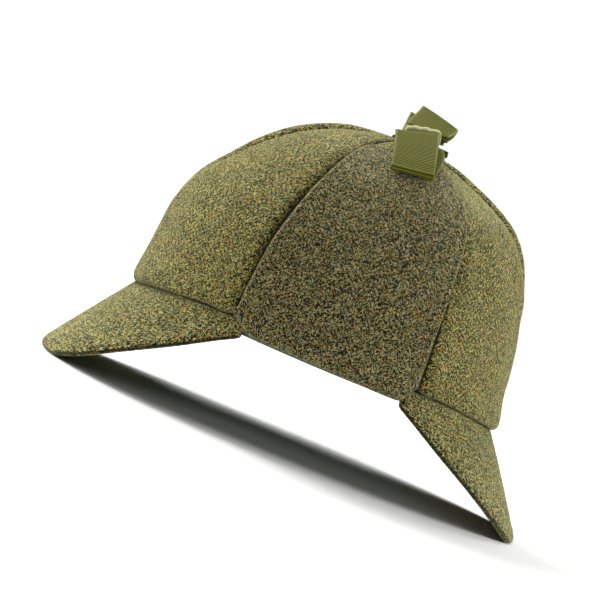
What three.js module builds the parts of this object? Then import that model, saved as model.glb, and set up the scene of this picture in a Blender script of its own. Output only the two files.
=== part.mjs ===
// Deerstalker hat: six-gore tweed crown, front and back peaks, two ear flaps folded up against
// the crown, a sweatband inside, and a grosgrain ribbon bow tied over the top.
// Millimetres. The wearer faces -Y, the wearer's left is +X, up is +Z; the hat rests at Z = 0
// on the lower edges of its two peaks.
import * as THREE from 'three';

// ---------------------------------------------------------------- driving dimensions
const RIM = 52;            // height of the peak seams at centre front and centre back
const ARCH = 9.5;          // how much higher the crown's lower seam runs over the ears
const RIM_LONG = 106;      // half length of the lower seam, front to back
const RIM_WIDE = 88.5;     // half width of the lower seam
const GAP = 0.32;          // gap kept between neighbouring pieces

// Crown profile: height above the rim, reach to the front, to the back and to each side
const CROWN = [
  { up: 0, front: 109.0, back: 109.2, side: 91.6 },
  { up: 6, front: 109.2, back: 108.9, side: 92.0 },
  { up: 18, front: 108.1, back: 106.3, side: 92.0 },
  { up: 32, front: 107.3, back: 104.7, side: 92.2 },
  { up: 46, front: 106.2, back: 102.3, side: 91.0 },
  { up: 60, front: 102.4, back: 98.6, side: 87.0 },
  { up: 72, front: 96.2, back: 96.0, side: 81.4 },
  { up: 84, front: 85.9, back: 91.0, side: 74.5 },
  { up: 95, front: 76.3, back: 84.4, side: 67.5 },
  { up: 105, front: 65.6, back: 74.2, side: 58.5 },
  { up: 113, front: 54.4, back: 59.8, side: 48.5 },
  { up: 119, front: 42.2, back: 44.8, side: 37.0 },
  { up: 123.5, front: 29.5, back: 31.5, side: 25.5 },
  { up: 126.5, front: 15.0, back: 16.0, side: 13.0 },
  { up: 127.8, front: 0.0, back: 0.0, side: 0.0 },
];
const GORE = {
  wall: 2.4, flat: 0.0335, valley: 1.3, valleyWide: 3, swell: 0.4, swellAt: 8, ridge: 1.6,
  ridgeAt: 7, roll: 4,
};
const GORE_ROWS = [0, 0.7, 2, 4.2];                       // above the lower seam
const GORE_RINGS = [17, 30, 43, 54, 64, 74, 84, 94, 103, 111, 117.5, 122.5, 126, 127.5];

// Peaks: turn from centre, height of the lower edge at the front and at the back
const PEAK = { slope: 54.5, thick: 4, end: 63.9, columns: 26, press: 0.45, inner: 1.6, under: 0.72 };
const PEAK_EDGE = [
  { turn: 0, front: 0, back: 0 },
  { turn: 13, front: 0, back: 0 },
  { turn: 18, front: 0.5, back: 1.8 },
  { turn: 24, front: 4.2, back: 7.6 },
  { turn: 30, front: 9.6, back: 13.5 },
  { turn: 40, front: 21.4, back: 23.8 },
  { turn: 50, front: 33.4, back: 34.2 },
  { turn: 60, front: 46.0, back: 45.4 },
  { turn: 66, front: 52.4, back: 51.6 },
];

// Ear flap, folded up: turn about the front-back line, front edge and back edge
const FLAP = { thick: 3.4, gap: 1.2, inside: 0.2, rise: 4.5, columns: 14 };
const FLAP_LIFTS = [14, 21, 29, 37, 44, 51, 57, 62, 66, 69.3, 71.6, 73];
const FLAP_FOLD = [180, 180, 236, 292, 338];              // turns round the fold
// Edge of the flap's lower corners: up from the outline, and in from the layer's middle
const FLAP_CORNER = [
  { drop: 0, curl: 0 },
  { drop: 0, curl: 0 },
  { drop: 0.2, curl: 1.1 },
  { drop: 0.9, curl: 0.4 },
  { drop: 2.4, curl: 0 },
];
const FLAP_EDGE = [
  { turn: 0, front: -51.5, back: 48.5 },
  { turn: 13, front: -50.6, back: 48.8 },
  { turn: 26, front: -49.3, back: 48.8 },
  { turn: 37, front: -46.7, back: 48.2 },
  { turn: 51, front: -39.8, back: 46.6 },
  { turn: 59, front: -33.6, back: 44.3 },
  { turn: 65, front: -28.4, back: 39.6 },
  { turn: 69, front: -24.2, back: 33.0 },
  { turn: 71.6, front: -20.5, back: 25.0 },
  { turn: 73, front: -15.5, back: 14.0 },
];
// Lower outline of the flap: place along the hat, height above the rim
const FLAP_FOOT = [
  { along: -52, up: 10.0 },
  { along: -46, up: 6.0 },
  { along: -42.5, up: 3.2 },
  { along: -38.5, up: 2.2 },
  { along: 0, up: 2.2 },
  { along: 38, up: 1.2 },
  { along: 43.2, up: 1.2 },
  { along: 46, up: 6.6 },
  { along: 50, up: 12.0 },
];
const SWEATBAND = { thick: 1.3, foot: 0.9, high: 30, inset: [3.3, 4.0, 7.6] };

// Ribbon: 25 mm wide
const RIBBON = { wide: 24.5, thick: 1.0 };
// Swell of the knot along its length
const KNOT_ENDS = [
  { part: -1, swell: 0.62 }, { part: -0.86, swell: 0.92 }, { part: -0.5, swell: 1 },
  { part: 0, swell: 1.03 }, { part: 0.5, swell: 1 }, { part: 0.86, swell: 0.92 },
  { part: 1, swell: 0.62 },
];
const KNOT = { across: 16, along: 21, high: 9.6, round: 2.6, place: [0, 7.6, 134.3], roll: 13 };
// Ribbon courses: x to the wearer's left, y to the back, up above the rim; lean and rise are
// the sideways and upward parts of the direction the ribbon's width runs in
const LOOP_LEFT = [
  { x: 9.3, y: 3.9, up: 136.6, lean: 0.00, rise: 0.28 },
  { x: 13, y: 3.8, up: 136.9, lean: -0.02, rise: 0.30 },
  { x: 17.5, y: 3.8, up: 135.9, lean: -0.06, rise: 0.31 },
  { x: 25, y: 4.2, up: 133.0, lean: -0.14, rise: 0.29 },
  { x: 34, y: 5.0, up: 129.3, lean: -0.20, rise: 0.26 },
  { x: 43, y: 5.8, up: 124.6, lean: -0.26, rise: 0.23 },
  { x: 50.5, y: 6.6, up: 119.4, lean: -0.30, rise: 0.20 },
  { x: 55.9, y: 7.2, up: 115.4, lean: -0.32, rise: 0.19 },
  { x: 56.8, y: 7.4, up: 114.4, lean: -0.32, rise: 0.19 },
  { x: 55.8, y: 7.6, up: 114.4, lean: -0.32, rise: 0.18 },
  { x: 50.3, y: 7.8, up: 118.3, lean: -0.29, rise: 0.17 },
  { x: 43.0, y: 8.2, up: 122.6, lean: -0.24, rise: 0.15 },
  { x: 36, y: 8.6, up: 125.9, lean: -0.18, rise: 0.12 },
  { x: 27, y: 8.8, up: 128.2, lean: -0.10, rise: 0.10 },
  { x: 18, y: 8.6, up: 130.1, lean: -0.04, rise: 0.08 },
  { x: 9.3, y: 8.5, up: 131.4, lean: 0.00, rise: 0.08 },
];
const LOOP_RIGHT = [
  { x: -9.3, y: 10.4, up: 138.0, lean: 0.00, rise: 0.06 },
  { x: -14, y: 10.8, up: 139.5, lean: 0.04, rise: 0.00 },
  { x: -22, y: 12.6, up: 141.6, lean: 0.10, rise: -0.08 },
  { x: -31, y: 14.6, up: 144.0, lean: 0.16, rise: -0.16 },
  { x: -38, y: 15.9, up: 146.4, lean: 0.20, rise: -0.20 },
  { x: -40.2, y: 16.2, up: 146.4, lean: 0.20, rise: -0.20 },
  { x: -40.0, y: 16.1, up: 145.0, lean: 0.20, rise: -0.20 },
  { x: -32, y: 14.7, up: 141.7, lean: 0.16, rise: -0.15 },
  { x: -22, y: 12.6, up: 138.6, lean: 0.10, rise: -0.08 },
  { x: -14, y: 10.8, up: 136.5, lean: 0.04, rise: 0.00 },
  { x: -9.3, y: 10.4, up: 135.3, lean: 0.00, rise: 0.05 },
];
const TAIL_UPPER = [
  { x: -9.3, y: 8.9, up: 133.2, lean: 0.00, rise: 0.05 },
  { x: -14, y: 9.2, up: 133.9, lean: 0.02, rise: 0.03 },
  { x: -22, y: 10.0, up: 136.4, lean: 0.06, rise: -0.03 },
  { x: -31, y: 10.8, up: 139.4, lean: 0.10, rise: -0.10 },
  { x: -38, y: 11.4, up: 141.6, lean: 0.12, rise: -0.14 },
];
const TAIL_LOWER = [
  { x: -9.3, y: 13.2, up: 131.3, lean: 0.00, rise: -0.02 },
  { x: -14, y: 13.4, up: 131.2, lean: 0.04, rise: -0.03 },
  { x: -21, y: 14.4, up: 130.4, lean: 0.09, rise: -0.05 },
  { x: -28, y: 15.0, up: 128.4, lean: 0.12, rise: -0.06 },
];
const TIE = { y: 5.5, from: 74, to: 85.9, rows: 6, off: 1.5 };

const COLOUR = {
  crown: 0x7b7547, peak: 0x827953, flap: 0x5b573a, ribbon: 0x83845a, band: 0x1d3b2c,
};

// ---------------------------------------------------------------- small helpers
const rad = (degrees) => (degrees * Math.PI) / 180;
const clamp = (x, low, high) => Math.min(high, Math.max(low, x));
const ease = (x) => { const t = clamp(x, 0, 1); return t * t * (3 - 2 * t); };
const V = (x, y, z) => new THREE.Vector3(x, y, z);

// One column of a table at a place between its rows, in straight steps
function lookup(table, key, at, column) {
  let i = 0;
  while (i < table.length - 2 && at > table[i + 1][key]) i += 1;
  const f = clamp((at - table[i][key]) / (table[i + 1][key] - table[i][key]), 0, 1);
  return table[i][column] * (1 - f) + table[i + 1][column] * f;
}

// One column of a table along a smooth curve through its rows; at runs from 0 to 1
function curve(table, at, column, closeAtEnd = false) {
  const last = table.length - 1;
  const x = clamp(at, 0, 1) * last;
  const i = Math.min(Math.floor(x), last - 1);
  const f = x - i;
  const value = (k) => table[k][column];
  const b = value(i);
  const c = value(i + 1);
  const a = i > 0 ? value(i - 1) : 2 * b - c;
  let d = i + 2 <= last ? value(i + 2) : 2 * c - b;
  if (i + 2 > last && closeAtEnd) d = column === 'up' ? value(last - 1) : -value(last - 1);
  return 0.5 * (2 * b + (c - a) * f + (2 * a - 5 * b + 4 * c - d) * f * f
    + (3 * b - a - 3 * c + d) * f ** 3);
}

// Smooth curve through a table's column, read by the value of its key column
function smoothLookup(table, key, at, column) {
  let low = 0;
  let high = 1;
  for (let k = 0; k < 40; k += 1) {
    const middle = (low + high) / 2;
    if (curve(table, middle, key) < at) low = middle; else high = middle;
  }
  return curve(table, (low + high) / 2, column);
}

// Grid of four-sided faces, rows by columns, with the faces that keep() allows
function gridFaces(rows, columns, keep = () => true) {
  const faces = [];
  for (let j = 0; j < rows - 1; j += 1) {
    for (let i = 0; i < columns - 1; i += 1) {
      const a = j * columns + i;
      if (keep(j, i)) faces.push([a, a + 1, a + 1 + columns, a + columns]);
    }
  }
  return faces;
}

// Closed mesh from points and triangles, turned outward when its volume comes out negative
function closedMesh(name, points, triangles, colour, roughness) {
  const used = new Map();
  const positions = [];
  const index = triangles.flat().map((old) => {
    if (!used.has(old)) {
      used.set(old, used.size);
      positions.push(points[old].x, points[old].y, points[old].z);
    }
    return used.get(old);
  });
  let volume = 0;
  const at = (k) => V(positions[3 * k], positions[3 * k + 1], positions[3 * k + 2]);
  for (let k = 0; k < index.length; k += 3) {
    volume += at(index[k]).dot(at(index[k + 1]).cross(at(index[k + 2])));
  }
  if (volume < 0) {
    for (let k = 0; k < index.length; k += 3) {
      [index[k + 1], index[k + 2]] = [index[k + 2], index[k + 1]];
    }
  }
  const geometry = new THREE.BufferGeometry();
  geometry.setAttribute('position', new THREE.Float32BufferAttribute(positions, 3));
  geometry.setIndex(index);
  geometry.computeVertexNormals();
  const material = new THREE.MeshStandardMaterial({ color: colour, roughness, metalness: 0 });
  const mesh = new THREE.Mesh(geometry, material);
  mesh.name = name;
  return mesh;
}

// Thick cloth: each vertex has a point on the outer and one on the inner face
function cloth(name, faces, outer, inner, colour, roughness = 0.95) {
  const n = outer.length;
  const triangles = [];
  const open = new Map();
  for (const face of faces) {
    const [a, b, c, d] = face;
    triangles.push([a, b, c], [a, c, d], [n + a, n + c, n + b], [n + a, n + d, n + c]);
    face.forEach((p, k) => {
      const q = face[(k + 1) % 4];
      if (!open.delete(`${q},${p}`)) open.set(`${p},${q}`, [p, q]);
    });
  }
  for (const [p, q] of open.values()) triangles.push([q, p, n + p], [q, n + p, n + q]);
  return closedMesh(name, [...outer, ...inner], triangles, colour, roughness);
}

// Closed loft through rings of points that all have the same count
function loft(name, rings, colour, roughness = 0.95) {
  const n = rings[0].length;
  const triangles = [];
  for (let j = 0; j < rings.length - 1; j += 1) {
    for (let i = 0; i < n; i += 1) {
      const a = j * n + i;
      const b = j * n + ((i + 1) % n);
      triangles.push([a, b, b + n], [a, b + n, a + n]);
    }
  }
  const end = (rings.length - 1) * n;
  for (let i = 1; i < n - 1; i += 1) {
    triangles.push([0, i + 1, i], [end, end + i, end + i + 1]);
  }
  return closedMesh(name, rings.flat(), triangles, colour, roughness);
}

// ---------------------------------------------------------------- crown shape
const COLUMNS = ['up', 'front', 'back', 'side'];

// Reaches of the crown at a height above the rim
function ringAt(up) {
  let low = 0;
  let high = 1;
  for (let k = 0; k < 36; k += 1) {
    const middle = (low + high) / 2;
    if (curve(CROWN, middle, 'up', true) < up) low = middle; else high = middle;
  }
  const at = (low + high) / 2;
  return Object.fromEntries(COLUMNS.map((c) => [c, curve(CROWN, at, c, true)]));
}

// Place across a gore: -1 and 1 at its seams, 0 in its middle
function across(turn) {
  const sector = rad(60);
  const part = (((turn / sector) % 1) + 1) % 1;
  return 2 * part - 1;
}

// Height of the crown's lower seam above the rim
const seamUp = (turn) => ARCH * (1 - Math.cos(turn) ** 4);

// Gores lie flatter than an oval between their seams, more so above the band
const flatten = (turn, up) => 1 - GORE.flat * (1 - across(turn) ** 2) * ease(up / 40);

// Point on the smooth crown; turn 0 is the front, 90 degrees the wearer's left
function crownPoint(turn, up) {
  const ring = ringAt(up);
  const k = flatten(turn, up);
  const c = Math.cos(turn);
  const y = -(c >= 0 ? ring.front : ring.back) * c * k;
  return V(ring.side * Math.sin(turn) * k, y, RIM + up);
}

// Outward direction of the smooth crown
function crownNormal(turn, up) {
  const h = Math.min(up, 127.2);
  const e = 0.4;
  const round = crownPoint(turn + 0.01, h).sub(crownPoint(turn - 0.01, h));
  const rise = crownPoint(turn, Math.min(h + e, 127.6)).sub(crownPoint(turn, h - e));
  return round.cross(rise).normalize();
}

// Point of the smooth crown met at a turn about the front-back line through the rim's middle
function crownAcross(y, lift) {
  let low = 5;
  let high = 150;
  const inside = (reach) => {
    const x = reach * Math.cos(lift);
    const up = reach * Math.sin(lift);
    if (up >= 127.7) return null;
    const ring = ringAt(up);
    const c = -y / (y < 0 ? ring.front : ring.back);
    const s = x / ring.side;
    const turn = Math.atan2(s, c);
    return Math.hypot(s, c) < flatten(turn, up) ? { turn, up } : null;
  };
  let found = inside(low);
  for (let k = 0; k < 30; k += 1) {
    const middle = (low + high) / 2;
    const hit = inside(middle);
    if (hit) { low = middle; found = hit; } else high = middle;
  }
  return found;
}

// ---------------------------------------------------------------- crown gores
// Relief of a gore: it dips into its seams, swells beside them, and stands up in a ridge
// along the centre seam over the top
function relief(first, spread, up, reach) {
  const away = (1 - Math.abs(spread)) * rad(30) * reach;
  const fade = ease((reach - 4) / 20);
  const valley = GORE.valley * Math.exp(-((away / GORE.valleyWide) ** 2)) * fade;
  const swell = GORE.swell * Math.exp(-(((away - GORE.swellAt) / 5) ** 2)) * fade;
  const centreSeam = (spread < 0 ? first : first + 60) % 180 === 0;
  const ridge = centreSeam ? Math.max(0, 1 - Math.abs(away / GORE.ridgeAt - 1)) : 0;
  const overTop = ease((up - 60) / 50) * ease((reach - 8) / 30);
  return swell - valley + GORE.ridge * ridge * overTop;
}

// One gore from the turn of its first seam to the next, 60 degrees on
function gore(name, first) {
  const columns = 9;
  const rows = GORE_ROWS.length + GORE_RINGS.length;
  const outer = [];
  const inner = [];
  for (let j = 0; j < rows; j += 1) {
    const inRoll = j < GORE_ROWS.length;
    for (let i = 0; i < columns; i += 1) {
      const even = (2 * i) / (columns - 1) - 1;
      const spread = 0.65 * even - 0.35 * Math.cos((Math.PI * i) / (columns - 1));
      const plain = rad(first + 30 + 30 * spread);
      const up = inRoll ? seamUp(plain) + GAP + GORE_ROWS[j] : GORE_RINGS[j - GORE_ROWS.length];
      const ring = ringAt(up);
      const reach = Math.hypot(ring.side * Math.sin(plain),
        (Math.cos(plain) > 0 ? ring.front : ring.back) * Math.cos(plain));
      const turn = plain - spread * (GAP / reach);
      const low = inRoll ? Math.max(0, 1 - GORE_ROWS[j] / GORE.roll) : 0;
      const tuck = (ring.side - RIM_WIDE) * (1 - Math.sqrt(1 - low * low));
      const normal = crownNormal(turn, up);
      const stand = relief(first, spread, up, reach) * (1 - low) - tuck;
      outer.push(crownPoint(turn, up).addScaledVector(normal, stand));
      inner.push(crownPoint(turn, up).addScaledVector(normal, -tuck - GORE.wall));
    }
  }
  return cloth(name, gridFaces(rows, columns), outer, inner, COLOUR.crown);
}

// ---------------------------------------------------------------- peaks
// Section of a peak as [outward, upward] steps from the seam. The lower edge is rounded and
// pressed flat where it would pass below the resting level
function peakSection(drop) {
  const s = rad(PEAK.slope);
  const half = PEAK.thick / 2;
  const long = (drop - half - half * Math.cos(s)) / Math.sin(s);
  const at = (along, over) => [
    along * Math.cos(s) + over * Math.sin(s), -along * Math.sin(s) + over * Math.cos(s)];
  const centre = at(long, -half);
  const round = (degrees) => [
    centre[0] + half * Math.cos(rad(degrees)), centre[1] + half * Math.sin(rad(degrees))];
  const foot = half - PEAK.press;
  const wide = Math.sqrt(half * half - foot * foot);
  return [
    at(1.3, 0), ...[0.3, 0.6, 0.85, 1].map((f) => at(long * f, 0)),
    ...[60, 25, -10].map(round),
    [centre[0] + wide, centre[1] - foot], [centre[0] - wide, centre[1] - foot], round(200),
    ...[0.8, 0.5].map((f) => at(long * f, -PEAK.thick)),
    [-PEAK.inner, -PEAK.inner - 3], [-PEAK.inner, -PEAK.under], [0.4, -PEAK.under],
  ];
}

function peak(name, side) {
  const rings = [];
  for (let k = 0; k <= PEAK.columns; k += 1) {
    const part = (2 * k) / PEAK.columns - 1;
    const degrees = PEAK.end * part * (0.86 + 0.14 * part * part);
    const turn = rad(degrees);
    const column = side < 0 ? 'front' : 'back';
    const level = Math.abs(degrees) < PEAK_EDGE[1].turn;
    const edge = level ? 0 : smoothLookup(PEAK_EDGE, 'turn', Math.abs(degrees), column);
    const start = seamUp(turn) + RIM;
    const drop = start - Math.max(0, edge) + PEAK.press;
    const seam = V(RIM_WIDE * Math.sin(turn), side * RIM_LONG * Math.cos(turn), start);
    const out = V(Math.sin(turn) / RIM_WIDE, (side * Math.cos(turn)) / RIM_LONG, 0).normalize();
    rings.push(peakSection(drop).map(([away, up]) => (
      V(seam.x + out.x * away, seam.y + out.y * away, Math.max(0, seam.z + up)))));
  }
  return loft(name, rings, COLOUR.peak);
}

// ---------------------------------------------------------------- ear flaps
// Height above the rim of the flap's lower outline
const footAt = (y) => lookup(FLAP_FOOT, 'along', y, 'up');

// Place on the smooth crown at a height and a place along the hat
function atHeight(y, up) {
  const ring = ringAt(up);
  const plain = -y / (y < 0 ? ring.front : ring.back);
  let turn = Math.acos(plain);
  for (let k = 0; k < 8; k += 1) turn = Math.acos(plain / flatten(turn, up));
  return { turn, up };
}

// Part of the way across the flap of each of its columns, closer together at its edges
function flapColumn(i) {
  const last = FLAP.columns;
  const [edge, second] = [0.045, 0.09];
  if (i < 2) return i * edge;
  if (i > last - 2) return 1 - (last - i) * edge;
  return second + ((1 - 2 * second) * (i - 2)) / (last - 4);
}

// Outer and inner point of the flap in its fold: row 0 is sewn in the seam and the last row
// leads up the crown. Beside the fold only the outer layer is there, its edge curled in
function foldPoint(y, row, folded) {
  const half = FLAP.thick / 2;
  const foot = footAt(y);
  const turn = Math.acos(clamp(-y / RIM_LONG, -1, 1));
  const out = V(Math.sin(turn) / RIM_WIDE, -Math.cos(turn) / RIM_LONG, 0).normalize();
  const place = (away, up) => (
    V(RIM_WIDE * Math.sin(turn) + out.x * away, y + out.y * away, RIM + up));
  const far = crownPoint(atHeight(y, foot + FLAP.rise).turn, foot + FLAP.rise);
  const seamX = RIM_WIDE * Math.sin(turn);
  const reach = Math.hypot(far.x - seamX, far.y - y) + FLAP.gap + half;
  if (!folded) {
    const { drop, curl } = FLAP_CORNER[row];
    return [half, -half].map((d) => place(reach + d - curl, foot + drop));
  }
  if (row === 0) {
    const top = seamUp(turn) - 0.5;
    return [-half, half].map((d) => place(d - FLAP.inside, top));
  }
  const round = (reach + FLAP.inside) / 2;
  const middle = (reach - FLAP.inside) / 2;
  const a = rad(FLAP_FOLD[row]);
  return [half, -half].map((d) => (
    place(middle + (round + d) * Math.cos(a), foot + half + round + (round + d) * Math.sin(a))));
}

// Outer and inner point of the flap where it lies up the crown
function layPoint(hit, y) {
  const base = crownPoint(hit.turn, hit.up);
  const normal = crownNormal(hit.turn, hit.up);
  const wave = 0.35 * Math.sin(y / 9 + hit.up / 17) * ease((hit.up - 8) / 30);
  return [
    base.clone().addScaledVector(normal, FLAP.gap + FLAP.thick + wave),
    base.clone().addScaledVector(normal, FLAP.gap + Math.max(wave, 0) / 2)];
}

// Each flap hangs from the lower seam, turns up in a soft fold and lies against the crown
function earFlap(name, side) {
  const columns = FLAP.columns + 1;
  const foldRows = FLAP_FOLD.length;
  const rows = foldRows + 2 + FLAP_LIFTS.length;
  const folded = (i) => i >= 2 && i <= columns - 3;
  const outer = [];
  const inner = [];
  for (let j = 0; j < rows; j += 1) {
    const lift = j < foldRows + 2 ? 0 : FLAP_LIFTS[j - foldRows - 2];
    const front = smoothLookup(FLAP_EDGE, 'turn', lift, 'front');
    const back = smoothLookup(FLAP_EDGE, 'turn', lift, 'back');
    for (let i = 0; i < columns; i += 1) {
      const y = front + (back - front) * flapColumn(i);
      const low = footAt(y) + FLAP.rise;
      let pair;
      if (j < foldRows) pair = foldPoint(y, j, folded(i));
      else if (lift === 0) pair = layPoint(atHeight(y, low + (j - foldRows) * 4), y);
      else pair = layPoint(crownAcross(y, rad(lift)), y);
      outer.push(V(pair[0].x * side, pair[0].y, pair[0].z));
      inner.push(V(pair[1].x * side, pair[1].y, pair[1].z));
    }
  }
  const keep = (j, i) => j >= 2 || (folded(i) && folded(i + 1));
  return cloth(name, gridFaces(rows, columns, keep), outer, inner, COLOUR.flap);
}

// ---------------------------------------------------------------- sweatband
function sweatband() {
  const steps = 56;
  const rows = SWEATBAND.inset.length;
  const outer = [];
  const inner = [];
  SWEATBAND.inset.forEach((inset, j) => {
    const z = RIM + SWEATBAND.foot + (SWEATBAND.high * j) / (rows - 1);
    const at = (turn, less) => V((RIM_WIDE - less) * Math.sin(turn),
      -(RIM_LONG - less) * Math.cos(turn), z);
    for (let i = 0; i < steps; i += 1) {
      const turn = (2 * Math.PI * i) / steps;
      outer.push(at(turn, inset));
      inner.push(at(turn, inset + SWEATBAND.thick));
    }
  });
  const faces = [];
  for (let j = 0; j < rows - 1; j += 1) {
    for (let i = 0; i < steps; i += 1) {
      const k = (i + 1) % steps;
      faces.push([j * steps + i, j * steps + k, (j + 1) * steps + k, (j + 1) * steps + i]);
    }
  }
  return cloth('sweatband', faces, outer, inner, COLOUR.band, 0.5);
}

// ---------------------------------------------------------------- ribbon pieces
// Ribbon laid along a course of points, its width running mostly front to back
function ribbon(name, course) {
  const points = course.map((p) => V(p.x, p.y, RIM + p.up));
  const rings = course.map((p, k) => {
    const before = points[Math.max(0, k - 1)];
    const after = points[Math.min(points.length - 1, k + 1)];
    const way = after.clone().sub(before).normalize();
    const width = V(p.lean, Math.sqrt(1 - p.lean ** 2 - p.rise ** 2), p.rise);
    width.addScaledVector(way, -width.dot(way)).normalize();
    const face = way.clone().cross(width).normalize();
    const corner = (w, t) => points[k].clone()
      .addScaledVector(width, (w * RIBBON.wide) / 2).addScaledVector(face, (t * RIBBON.thick) / 2);
    return [corner(-1, -1), corner(0, -1), corner(1, -1), corner(1, 1), corner(0, 1), corner(-1, 1)];
  });
  return loft(name, rings, COLOUR.ribbon, 0.7);
}

// Ribbon end that lies over the crown from the top of a flap to the knot
function tie(name, side) {
  const course = [];
  for (let k = 0; k <= TIE.rows; k += 1) {
    const hit = crownAcross(TIE.y, rad(TIE.from + ((TIE.to - TIE.from) * k) / TIE.rows));
    const p = crownPoint(hit.turn, hit.up)
      .addScaledVector(crownNormal(hit.turn, hit.up), TIE.off);
    course.push({ x: side * p.x, y: p.y, up: p.z - RIM, lean: 0, rise: 0 });
  }
  return ribbon(name, course);
}

// The tied middle of the bow: a padded wrap with rounded corners
function knot() {
  const rings = [];
  const { across: wide, along, high, round } = KNOT;
  for (const { part, swell } of KNOT_ENDS) {
    const ring = [];
    for (let k = 0; k < 16; k += 1) {
      const a = (2 * Math.PI * (k + 0.5)) / 16;
      const cx = Math.sign(Math.cos(a)) * (wide / 2 - round) + round * Math.cos(a);
      const cz = Math.sign(Math.sin(a)) * (high / 2 - round) + round * Math.sin(a);
      ring.push(V(cx * (0.8 + 0.2 * swell), (part * along) / 2, cz * swell));
    }
    rings.push(ring);
  }
  const turn = new THREE.Matrix4().makeRotationX(rad(KNOT.roll));
  const [x, y, up] = KNOT.place;
  const moved = rings.map((ring) => ring.map((p) => p.applyMatrix4(turn).add(V(x, y, RIM + up))));
  return loft('bow_knot', moved, COLOUR.ribbon, 0.7);
}

// ---------------------------------------------------------------- assembly
const group = new THREE.Group();
group.name = 'deerstalker_hat';
const names = ['front_left', 'side_left', 'back_left', 'back_right', 'side_right', 'front_right'];
names.forEach((name, k) => group.add(gore(`gore_${name}`, 60 * k)));
group.add(peak('front_peak', -1), peak('back_peak', 1));
group.add(earFlap('ear_flap_left', 1), earFlap('ear_flap_right', -1));
group.add(sweatband());
group.add(knot(), ribbon('bow_loop_left', LOOP_LEFT), ribbon('bow_loop_right', LOOP_RIGHT));
group.add(ribbon('bow_tail_upper', TAIL_UPPER), ribbon('bow_tail_lower', TAIL_LOWER));
group.add(tie('tie_left', 1), tie('tie_right', -1));

export default group;
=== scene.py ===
import bpy
import numpy as np
from mathutils import Matrix


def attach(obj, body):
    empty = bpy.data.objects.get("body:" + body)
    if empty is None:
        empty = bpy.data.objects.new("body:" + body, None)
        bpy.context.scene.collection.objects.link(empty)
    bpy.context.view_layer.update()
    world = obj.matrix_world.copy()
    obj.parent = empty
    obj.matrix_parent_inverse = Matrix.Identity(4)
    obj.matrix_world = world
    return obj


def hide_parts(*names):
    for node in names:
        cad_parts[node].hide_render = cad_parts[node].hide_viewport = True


# Deerstalker hat of olive herringbone tweed: six gores, two peaks, two ear flaps tied up over
# the crown with a grosgrain bow, and a satin sweatband. Lengths here are millimetres; a
# piece's points turn into metres as its mesh is laid.
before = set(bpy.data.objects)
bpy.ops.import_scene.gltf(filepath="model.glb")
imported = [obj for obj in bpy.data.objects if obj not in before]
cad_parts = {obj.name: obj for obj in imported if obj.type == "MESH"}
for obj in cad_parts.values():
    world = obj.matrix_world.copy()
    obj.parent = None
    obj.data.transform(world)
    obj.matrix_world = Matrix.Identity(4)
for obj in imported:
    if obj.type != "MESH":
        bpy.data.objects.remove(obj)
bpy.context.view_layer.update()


# ---------------------------------------------------------------- crown gores
# Six wedge-shaped panels of heavy wool tweed on a plain green lining, seamed edge to edge.
# The seam allowances inside push the cloth up beside each seam, and the lower edge is rolled
# over the seam of the peaks.
RIM = 52.0  # height of the peak seams at centre front and back
ARCH = 9.5  # how much higher the lower seam runs over the ears
RIM_LONG, RIM_WIDE = 106.0, 88.5  # half length and half width of the lower seam
GORE_TURN = np.radians(60)
GORE_FLAT = 0.0335  # how much flatter than an oval a gore lies between its seams
FLAT_FROM = 40.0  # height above the rim where it is that flat
TOP_UP = 127.6  # just under the apex, where a gore still has two sides
WALL = 2.4  # tweed, canvas and lining together
ROLL = 3.4  # radius of the rolled lower edge
# Height above the rim, reach to the front, to the back, and to each side
CROWN = [
    (0, 109.0, 109.2, 91.6),
    (6, 109.2, 108.9, 92.0),
    (18, 108.1, 106.3, 92.0),
    (32, 107.3, 104.7, 92.2),
    (46, 106.2, 102.3, 91.0),
    (60, 102.4, 98.6, 87.0),
    (72, 96.2, 96.0, 81.4),
    (84, 85.9, 91.0, 74.5),
    (95, 76.3, 84.4, 67.5),
    (105, 65.6, 74.2, 58.5),
    (113, 54.4, 59.8, 48.5),
    (119, 42.2, 44.8, 37.0),
    (123.5, 29.5, 31.5, 25.5),
    (126.5, 15.0, 16.0, 13.0),
    (127.8, 0.0, 0.0, 0.0),
]


def ease(x):
    """A smooth step from nothing at 0 to one at 1."""
    t = np.clip(x, 0, 1)
    return t * t * (3 - 2 * t)


def smooth_rows(rows, beyond=None, steps=48):
    """Fine rows of a smooth curve through a table's rows; beyond is the row past the last."""
    rows = np.array(rows, float)
    last = 2 * rows[-1] - rows[-2] if beyond is None else np.array(beyond, float)
    p = np.vstack([2 * rows[0] - rows[1], rows, last])
    a, b, c, d = p[:-3], p[1:-2], p[2:-1], p[3:]
    f = np.linspace(0, 1, steps, endpoint=False)[:, None, None]
    bow, twist = 2 * a - 5 * b + 4 * c - d, 3 * b - a - 3 * c + d
    fine = 0.5 * (2 * b + (c - a) * f + bow * f**2 + twist * f**3)
    return np.vstack([fine.transpose(1, 0, 2).reshape(-1, rows.shape[1]), rows[-1]])


# Past the apex the profile comes down the other side
crown_fine = smooth_rows(CROWN, beyond=(CROWN[-2][0], *(-r for r in CROWN[-2][1:])))


def ring_at(up):
    """Reach of the smooth crown to the front, to the back and to each side at a height."""
    return [np.interp(up, crown_fine[:, 0], crown_fine[:, k]) for k in (1, 2, 3)]


def seam_up(turn):
    """How much higher than at centre front the lower seam runs."""
    return ARCH * (1 - np.cos(turn) ** 4)


def flatten(turn, up):
    """Share of the oval's reach that a gore keeps: all at its seams, least along its middle."""
    across = 2 * ((turn / GORE_TURN) % 1) - 1
    return 1 - GORE_FLAT * (1 - across**2) * ease(up / FLAT_FROM)


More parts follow.
